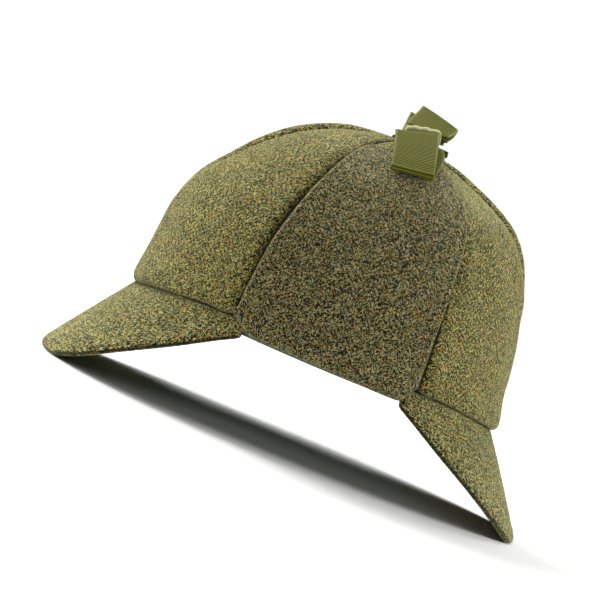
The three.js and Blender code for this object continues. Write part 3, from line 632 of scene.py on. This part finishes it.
def ear_flap(name, node, side):
    half = FLAP_THICK / 2
    columns = 2 * len(SEAM_STEPS) + 46
    lifts = np.radians(np.concatenate([np.linspace(14, 68.5, 40), FLAP_TOP - FLAP_TOP_STEPS]))
    wide = np.degrees(lifts)
    front = np.interp(wide, flap_fine[:, 0], flap_fine[:, 1])
    back = np.interp(wide, flap_fine[:, 0], flap_fine[:, 2])
    foot_front = np.full(20, FLAP_EDGE[0][1])
    foot_back = np.full(20, FLAP_EDGE[0][2])
    f_all = np.concatenate([foot_front, front])
    b_all = np.concatenate([foot_back, back])
    y = np.stack([a + edge_columns(SEAM_STEPS, (b - a) / 2, 46) for a, b in zip(f_all, b_all)])
    y = np.clip(y, f_all[:, None], b_all[:, None])
    low = y[:20]
    foot = np.interp(low, foot_fine[:, 0], foot_fine[:, 1])
    turn = np.arccos(np.clip(-low / RIM_LONG, -1, 1))
    out = unit(np.stack([np.sin(turn) / RIM_WIDE, -np.cos(turn) / RIM_LONG, 0 * turn], -1))
    seam_x = RIM_WIDE * np.sin(turn)
    far = crown_point(at_height(low, foot + FLAP_RISE), foot + FLAP_RISE)
    reach = np.hypot(far[..., 0] - seam_x, far[..., 1] - low) + FLAP_GAP + half
    bend = (reach + FLAP_INSIDE) / 2
    centre = (reach - FLAP_INSIDE) / 2
    hinged = (low > FLAP_HINGE[0]) & (low < FLAP_HINGE[1])
    turns = np.radians(np.concatenate([[180, 180, 180], np.linspace(190, 345, 12)]))[:, None]
    drop = np.concatenate([[1, 0.5, 0.1], np.zeros(12)])[:, None]
    free = np.radians(285)
    turns = np.where(hinged[:15], turns, np.maximum(turns, free))
    away = centre[:15] + bend[:15] * np.cos(turns)
    seam_top = seam_up(turn[:15]) - 0.5
    up = foot[:15] + half + bend[:15] * (1 + np.sin(turns))
    up = np.where(hinged[:15], up + (seam_top - up) * drop, up)
    fold = np.stack([seam_x[:15] + out[:15, :, 0] * away, low[:15] + out[:15, :, 1] * away, RIM + up], -1)
    # Up the crown: a few rows by height, then by turn
    heights = foot[15:20] + FLAP_RISE + np.linspace(0.5, 8, 5)[:, None]
    lay_turn, lay_up = crown_across(y[20:], lifts[:, None])
    lay_turn = np.concatenate([at_height(low[15:20], heights), lay_turn])
    lay_up = np.concatenate([heights, lay_up])
    lay_y = y[15:]
    wave = 0.35 * np.sin(lay_y / 9 + lay_up / 17) * ease((lay_up - 8) / 30)
    mid_high = ease((lay_up - 6) / 30) * (1 - ease((lay_up - 66) / 30))
    off = FLAP_GAP + half + wave + FLAP_LOOSE * bell(lay_y - f_all[15:, None], 6) * mid_high
    lay = crown_point(lay_turn, lay_up) + crown_normal(lay_turn, lay_up) * off[..., None]
    middle = np.concatenate([fold, lay])
    across = np.gradient(middle, axis=1)
    along = np.gradient(middle, axis=0)
    normal = unit(np.cross(across, along))
    # Distance from the free edge, which is turned in a round and stitched
    free_edge = np.concatenate([middle[8:, 0], middle[-1], middle[8:, -1][::-1]])
    between = np.linspace(0, 1, 6)[:-1, None]
    fine = np.concatenate([a + (b - a) * between for a, b in zip(free_edge, free_edge[1:])])
    distance = np.linalg.norm(middle[:, :, None] - fine[None, None], axis=-1).min(2)
    # The hinge is no free edge
    row = np.arange(len(middle))[:, None]
    distance = np.where((row < 8) & (np.abs(low[0]) < 40), 99, distance)
    distance[:, [0, -1]] = 0
    distance[[0, -1]] = 0
    share = rounded(distance, half)
    groove = 0.42 * bell(distance - FLAP_STITCH, 0.6)
    swell = 0.25 * np.exp(-(((distance - 2.0) / 1.0) ** 2)) + 0.18 * np.exp(-(((distance - 6.0) / 1.6) ** 2))
    off_edge = np.minimum(1, distance / 0.1)
    outer = middle + normal * ((half * share + swell - groove) * off_edge)[..., None]
    inner = middle - normal * ((half * share - 0.5 * groove) * off_edge)[..., None]
    close_border(outer, inner)
    u = along_steps(outer, 1)
    u = u - u[:, [columns // 2]]
    v = along_steps(outer, 0)[:, [columns // 2]] + 0 * u
    for points in (outer, inner):
        points[..., 0] *= side
    # Painted shade: faces near the free edge, wider along the back edge, get the near-black tweed
    painted_shade = distance < np.where(y > 0, 1.0, 0.3)
    weave = np.stack([u + 400 + 90 * side, v], -1)
    piece = sew(name, outer, inner, weave, [flap_tweed, seam_shade_tweed, flap_tweed], painted_shade)
    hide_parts(node)


ear_flap("ear_flap_left_cloth", "ear_flap_left", 1)
ear_flap("ear_flap_right_cloth", "ear_flap_right", -1)


# ---------------------------------------------------------------- sweatband
# A band of emerald satin over a soft tape, sewn round inside the lower seam and turned up
# into the crown; its lower fold shows as a thin green line under the flaps.
BAND_THICK, BAND_FOOT, BAND_HIGH = 1.3, 0.9, 30.0
BAND_INSET = [(0, 3.3), (0.5, 4.0), (1, 7.6)]
satin = lining("satin_emerald", "#1d5a3f", 0.5)


def sweatband():
    turn = np.radians(np.linspace(0, 360, 241))[None]
    rows = [0, 0.006, 0.02, 0.04, *np.linspace(0.07, 0.93, 18), 0.96, 0.98, 0.994, 1]
    part = np.array(rows)[:, None]
    inset = np.interp(part, *zip(*BAND_INSET))
    d = np.minimum(part, 1 - part) * BAND_HIGH
    share = rounded(d, BAND_THICK / 2)
    stitch = 0.22 * np.exp(-(((d - 3) / 0.5) ** 2))
    lap = 0.25 * np.sin(turn * 26 + 4 * part) * np.exp(-d / 6) * ease(d / 2)
    half = BAND_THICK / 2
    faces = []
    for way in (1, -1):
        less = inset + half - way * (half * share - stitch * (d > 1)) + lap
        faces.append(np.stack([
            (RIM_WIDE - less) * np.sin(turn), -(RIM_LONG - less) * np.cos(turn),
            RIM + BAND_FOOT + BAND_HIGH * part + 0 * turn], -1))
    outer, inner = faces
    inner[0], inner[-1] = outer[0], outer[-1]
    u = along_steps(outer, 1)
    piece = sew("sweatband_satin", outer, inner, np.stack([u, BAND_HIGH * part + 0 * u], -1), [satin])
    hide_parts("sweatband")


sweatband()


# ---------------------------------------------------------------- bow
# Olive grosgrain ribbon, 25 mm wide: one from the top of each flap, tied over the apex in a
# bow with a loop to each side and two cut tails. Cross ribs, smooth selvedges, soft shine.
RIBBON_WIDE, RIBBON_THICK = 24.5, 0.9
RIB = 1.45  # drawn a little coarser than real ribs, which are about 1 mm apart
SELVEDGE = (0.9, 0.5)  # where it starts and is full, in from the edge
# x to the wearer's left, y to the back, height above the rim; lean and rise are the sideways
# and upward parts of the way the ribbon's width runs
LOOP_LEFT = [
    (9.3, 3.6, 134.8, 0.00, 0.26), (13, 3.4, 135.2, -0.02, 0.27), (17.5, 3.4, 134.6, -0.05, 0.28),
    (25, 3.6, 132.4, -0.08, 0.27), (34, 4.0, 129.3, -0.10, 0.24), (43, 4.5, 125.2, -0.12, 0.21),
    (50, 5.0, 121.5, -0.12, 0.18), (55.2, 5.4, 118.1, -0.12, 0.16), (57.6, 5.7, 116.6, -0.12, 0.14),
    (57.1, 6.2, 114.9, -0.12, 0.13), (55.2, 6.8, 115.2, -0.12, 0.12), (50.3, 7.5, 118.9, -0.12, 0.11),
    (43.0, 8.6, 122.9, -0.12, 0.11), (36, 9.4, 125.0, -0.10, 0.11), (27, 9.6, 127.4, -0.08, 0.10),
    (18, 9.2, 129.3, -0.04, 0.08), (9.3, 8.5, 130.4, 0.00, 0.08),
]
LOOP_RIGHT = [
    (-9.3, 10.4, 138.0, 0.00, 0.06), (-14, 10.8, 139.5, 0.04, 0.00), (-22, 12.6, 141.6, 0.10, -0.08),
    (-31, 14.6, 144.0, 0.16, -0.16), (-38, 15.9, 146.4, 0.20, -0.20), (-40.2, 16.2, 146.4, 0.20, -0.20),
    (-40.0, 16.1, 145.0, 0.20, -0.20), (-32, 14.7, 141.7, 0.16, -0.15), (-22, 12.6, 138.6, 0.10, -0.08),
    (-14, 10.8, 136.5, 0.04, 0.00), (-9.3, 10.4, 135.3, 0.00, 0.05),
]
TAIL_UPPER = [
    (-9.3, 8.9, 133.2, 0.00, 0.05), (-14, 9.2, 133.9, 0.02, 0.03), (-22, 10.0, 136.4, 0.06, -0.03),
    (-31, 10.8, 139.4, 0.10, -0.10), (-38, 11.4, 141.6, 0.12, -0.14),
]
TAIL_LOWER = [
    (-9.3, 13.2, 131.3, 0.00, -0.02), (-14, 13.4, 131.2, 0.04, -0.03), (-21, 14.4, 130.4, 0.09, -0.05),
    (-28, 15.0, 128.4, 0.12, -0.06),
]
TIE_Y, TIE_FROM, TIE_TO, TIE_OFF = 5.5, 74.0, 85.9, 1.5


def grosgrain(name, ribs, tones):
    """Viscose grosgrain: ribs across it, painted darker in their hollows and lighter on their crests as
    painted shade besides the bump, and a plain selvedge under 1 mm wide.
    """
    material, tree, cloth = new_material(name)
    place = add_node(tree, "UVMap", {"uv_map": "weave"})
    wide_long = add_node(tree, "SeparateXYZ", {}, {0: place.outputs[0]})
    off = add_node(tree, "Math", {"operation": "ABSOLUTE"}, {0: wide_long.outputs[0]})
    selvedge = add_node(tree, "MapRange", {
        "From Min": RIBBON_WIDE / 2 - SELVEDGE[0], "From Max": RIBBON_WIDE / 2 - SELVEDGE[1]},
        {"Value": off.outputs[0]})
    phase = add_node(tree, "Math", {"operation": "MULTIPLY", 1: 2 * np.pi / RIB}, {0: wide_long.outputs[1]})
    wave = add_node(tree, "Math", {"operation": "COSINE"}, {0: phase.outputs[0]})
    thread = add_node(tree, "Mapping", {"Scale": (3.2, 0.25, 1)}, {0: place.outputs[0]})
    streak = add_node(tree, "TexNoise", {"noise_dimensions": "2D", "Scale": 1, "Detail": 3},
                      {"Vector": thread.outputs[0]})
    depth = add_node(tree, "Math", {"operation": "MULTIPLY_ADD", 1: 0.5 * ribs, 2: 0.5}, {0: wave.outputs[0]})
    tone = add_node(tree, "ValToRGB", {"stops": list(zip((0, 0.45, 1), tones))},
                    {0: depth.outputs[0]})
    mixed = add_node(tree, "Mix", {"data_type": "RGBA", 7: linear("#666730")},
                     {0: selvedge.outputs[0], 6: tone.outputs[0]})
    vary = add_node(tree, "Math", {"operation": "MULTIPLY_ADD", 1: 0.5, 2: 0.75},
                    {0: streak.outputs["Fac"]})
    colour = add_node(tree, "VectorMath", {"operation": "SCALE"},
                      {0: mixed.outputs[2], "Scale": vary.outputs[0]})
    relief = add_node(tree, "Math", {"operation": "MULTIPLY_ADD", 1: 0.5},
                      {0: streak.outputs["Fac"], 2: depth.outputs[0]})
    bump = add_node(tree, "Bump", {"Strength": 0.6, "Distance": 0.0003}, {"Height": relief.outputs[0]})
    tree.links.new(colour.outputs[0], cloth.inputs["Base Color"])
    tree.links.new(bump.outputs[0], cloth.inputs["Normal"])
    cloth.inputs["Roughness"].default_value = 0.75
    cloth.inputs["Specular IOR Level"].default_value = 0.08
    cloth.inputs["Sheen Weight"].default_value = 0.1
    cloth.inputs["Sheen Roughness"].default_value = 0.35
    cloth.inputs["Sheen Tint"].default_value = linear("#d6d9ae")
    return material


ribbon_cloth = grosgrain("grosgrain_olive", 0.9, ("#33340e", "#57581c", "#70702e"))


def ribbon(name, node, course):
    fine = smooth_rows(course)
    run = along_steps(fine[:, None, :3], 0)[:, 0]
    long = run[-1]
    s = np.linspace(0, long, int(long / RIB * 6) + 1)
    at = np.stack([np.interp(s, run, fine[:, k]) for k in range(5)], -1)
    points = at[:, :3] + [0, 0, RIM]
    way = unit(np.gradient(points, axis=0))
    lean, rise = at[:, 3], at[:, 4]
    width = np.stack([lean, np.sqrt(1 - lean**2 - rise**2), rise], -1)
    face = unit(np.cross(way, width))
    steps = np.array([0, 0.08, 0.25, 0.5, 0.9, 1.4, 2.4, 4.0, 6.2, 8.8])
    w = edge_columns(steps, RIBBON_WIDE / 2, 3) - RIBBON_WIDE / 2
    d = RIBBON_WIDE / 2 - np.abs(w)
    ends = np.minimum(s, long - s)
    share = rounded(d, 0.45)[None] * rounded(ends, 0.3)[:, None]
    rib = 0.10 * np.cos(2 * np.pi * s / RIB)[:, None] * ease((d - 0.8) / 0.5)[None]
    cup = (0.35 * (w / 12) ** 2)[None] * np.sin(np.pi * s / long)[:, None]
    middle = points[:, None] + width[:, None] * w[None, :, None] + face[:, None] * cup[..., None]
    lift = (RIBBON_THICK / 2 * share + rib * share)[..., None] * face[:, None]
    outer, inner = middle + lift, middle - lift
    weave = np.stack([w[None] + 0 * s[:, None], s[:, None] + 0 * w[None]], -1)
    piece = sew(name, outer, inner, weave, [ribbon_cloth])
    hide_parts(node)


def tie_course(side):
    turns = np.radians(np.linspace(TIE_FROM, TIE_TO, 7))
    turn, up = crown_across(np.full(7, TIE_Y), turns)
    p = crown_point(turn, up) + crown_normal(turn, up) * TIE_OFF
    return [(side * x, y, z - RIM, 0, 0) for x, y, z in p]


ribbon("bow_loop_left_ribbon", "bow_loop_left", LOOP_LEFT)
ribbon("bow_loop_right_ribbon", "bow_loop_right", LOOP_RIGHT)
ribbon("bow_tail_upper_ribbon", "bow_tail_upper", TAIL_UPPER)
ribbon("bow_tail_lower_ribbon", "bow_tail_lower", TAIL_LOWER)
ribbon("tie_left_ribbon", "tie_left", tie_course(1))
ribbon("tie_right_ribbon", "tie_right", tie_course(-1))

# The knot: the ribbon passed once round the middle, gathered and pressed flat
KNOT_ACROSS, KNOT_ALONG, KNOT_HIGH = 16.0, 21.0, 9.6
KNOT_PLACE, KNOT_TURN = np.array([0, 7.6, 134.3 + RIM]), np.radians(13)
KNOT_SWELL = [(-1, 0.62), (-0.86, 0.92), (-0.5, 1), (0, 1.03), (0.5, 1), (0.86, 0.92), (1, 0.62)]


def knot():
    bpy.ops.object.select_all(action="DESELECT")
    bpy.ops.mesh.primitive_uv_sphere_add(segments=96, ring_count=48, radius=1)
    piece = bpy.context.object
    piece.name = piece.data.name = "bow_knot_ribbon"
    mesh = piece.data
    at = np.empty(3 * len(mesh.vertices))
    mesh.vertices.foreach_get("co", at)
    x, y, z = at.reshape(-1, 3).T
    a = np.arctan2(y, x)
    part = np.arcsin(np.clip(z, -1, 1)) / (np.pi / 2)
    cap = np.clip((1 - np.abs(part)) / 0.14, 0, 1)
    swell = np.interp(part, *zip(*KNOT_SWELL)) * np.sqrt(1 - (1 - cap) ** 2)
    square = 0.42
    cx = np.sign(np.cos(a)) * np.abs(np.cos(a)) ** square * KNOT_ACROSS / 2
    cz = np.sign(np.sin(a)) * np.abs(np.sin(a)) ** square * KNOT_HIGH / 2
    gather = 0.22 * np.sin(part * 11 + 2 * np.cos(a)) * (1 - np.abs(part) ** 4)
    slit = -0.9 * np.exp(-(((cx - 1.5) / 0.55) ** 2)) * (cz > 0) * ease((0.75 - np.abs(part - 0.15)) / 0.2)
    px = cx * (0.8 + 0.2 * swell) * np.minimum(1, cap * 3)
    py = part * KNOT_ALONG / 2
    pz = cz * swell + (gather + slit) * np.sign(cz) * np.minimum(1, cap * 2)
    c, s = np.cos(KNOT_TURN), np.sin(KNOT_TURN)
    points = np.stack([px, c * py - s * pz, s * py + c * pz], -1) + KNOT_PLACE
    mesh.vertices.foreach_set("co", (points / 1000).ravel())
    mesh.uv_layers[0].name = "weave"
    corner = np.empty(len(mesh.loops), int)
    mesh.loops.foreach_get("vertex_index", corner)
    laid = np.stack([py * 0.9, a * 7.5], -1)
    mesh.uv_layers[0].data.foreach_set("uv", laid[corner].ravel())
    bpy.ops.object.mode_set(mode="EDIT")
    bpy.ops.mesh.select_all(action="SELECT")
    bpy.ops.mesh.normals_make_consistent(inside=False)
    bpy.ops.object.mode_set(mode="OBJECT")
    bpy.ops.object.shade_smooth()
    # Painted highlight: the knot's ribbon is drawn paler than the loops, standing for the light on its top
    mesh.materials.append(grosgrain("grosgrain_olive_knot_painted_highlight", 0.35, ("#6b6d46", "#8a8d62", "#a3a67a")))
    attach(piece, "root")
    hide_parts("bow_knot")


knot()


# ---------------------------------------------------------------- setting
# A wide pale floor under white studio air, six large soft lights, and a long-lens camera
# low at the wearer's left, turned a little clockwise.
bpy.ops.object.select_all(action="DESELECT")
bpy.ops.mesh.primitive_circle_add(vertices=128, radius=1.1, fill_type="NGON", location=(0, 0, -0.0001))
floor = bpy.context.object
floor.name = "studio_floor"
paper, paper_tree, paper_shader = new_material("white_paper_sweep")
grain = add_node(paper_tree, "TexNoise", {"Scale": 300, "Detail": 2})
paper_tone = add_node(paper_tree, "Mix", {"data_type": "RGBA", 6: linear("#d4d4d2"), 7: linear("#dadad8")},
                      {0: grain.outputs["Fac"]})
paper_tree.links.new(paper_tone.outputs[2], paper_shader.inputs["Base Color"])
paper_shader.inputs["Roughness"].default_value = 0.9
floor.data.materials.append(paper)

AMBIENT, SEEN_AIR = 0.02, 1.05  # strength of the air as light, and as it is seen
world = bpy.data.worlds.new("studio_air")
world.use_nodes = True
bpy.context.scene.world = world
air = world.node_tree
background = air.nodes["Background"]
seen = add_node(air, "LightPath")
glow = add_node(air, "MapRange", {"To Min": AMBIENT, "To Max": SEEN_AIR},
                {"Value": seen.outputs["Is Camera Ray"]})
air.links.new(glow.outputs[0], background.inputs["Strength"])
background.inputs["Color"].default_value = (1, 1, 1, 1)

LIGHTS = [
    ("key_front", (0.0, -1.5, 0.95), 1.0, 14.0),
    ("key_high", (-0.7, -1.0, 1.4), 0.9, 41.6),
    ("rim_back", (0.0, 1.5, 0.8), 1.0, 32.0),
    ("rim_high", (-0.7, 1.0, 1.2), 0.9, 4.0),
    ("behind", (-1.1, 0.0, 1.4), 0.9, 22.0),
    ("fill", (1.9, -0.5, 0.9), 1.2, 9.8),
]
for name, place, size, power in LIGHTS:
    lamp = bpy.data.lights.new(name, "AREA")
    lamp.shape = "SQUARE"
    lamp.size = size
    lamp.energy = power
    lamp_object = bpy.data.objects.new(name, lamp)
    bpy.context.collection.objects.link(lamp_object)
    back = unit(np.array(place) - [0, 0, 0.1])
    side_way = unit(np.cross([0, 0, 1.0], back))
    turn_to = np.stack([side_way, np.cross(back, side_way), back], -1)
    matrix = Matrix(turn_to.tolist()).to_4x4()
    matrix.translation = place
    lamp_object.matrix_world = matrix

DISTANCE = 2.2
LOOK_DOWN, LOOK_FROM_FRONT, TILT = np.radians(4.2), np.radians(3.7), np.radians(23.1)
VIEW_WIDE = 0.3318
AIM = np.array([0, -0.0016, 0.052])
AIM_LEFT, AIM_UP = 0.00636, 0.02931  # how far the view's middle is from AIM
back = np.array([
    np.cos(LOOK_FROM_FRONT) * np.cos(LOOK_DOWN),
    -np.sin(LOOK_FROM_FRONT) * np.cos(LOOK_DOWN),
    np.sin(LOOK_DOWN),
])
right = np.array([np.sin(LOOK_FROM_FRONT), np.cos(LOOK_FROM_FRONT), 0])
up = np.cross(back, right)
view_right = right * np.cos(TILT) + up * np.sin(TILT)
view_up = up * np.cos(TILT) - right * np.sin(TILT)
camera_data = bpy.data.cameras.new("camera")
camera = bpy.data.objects.new("camera", camera_data)
bpy.context.collection.objects.link(camera)
matrix = Matrix(np.stack([view_right, view_up, back], -1).tolist()).to_4x4()
matrix.translation = (AIM - view_right * AIM_LEFT + view_up * AIM_UP + back * DISTANCE).tolist()
camera.matrix_world = matrix
camera_data.sensor_width = 36
camera_data.lens = camera_data.sensor_width * DISTANCE / VIEW_WIDE
camera_data.clip_end = 20
bpy.context.scene.camera = camera
bpy.context.scene.view_settings.view_transform = "Standard"
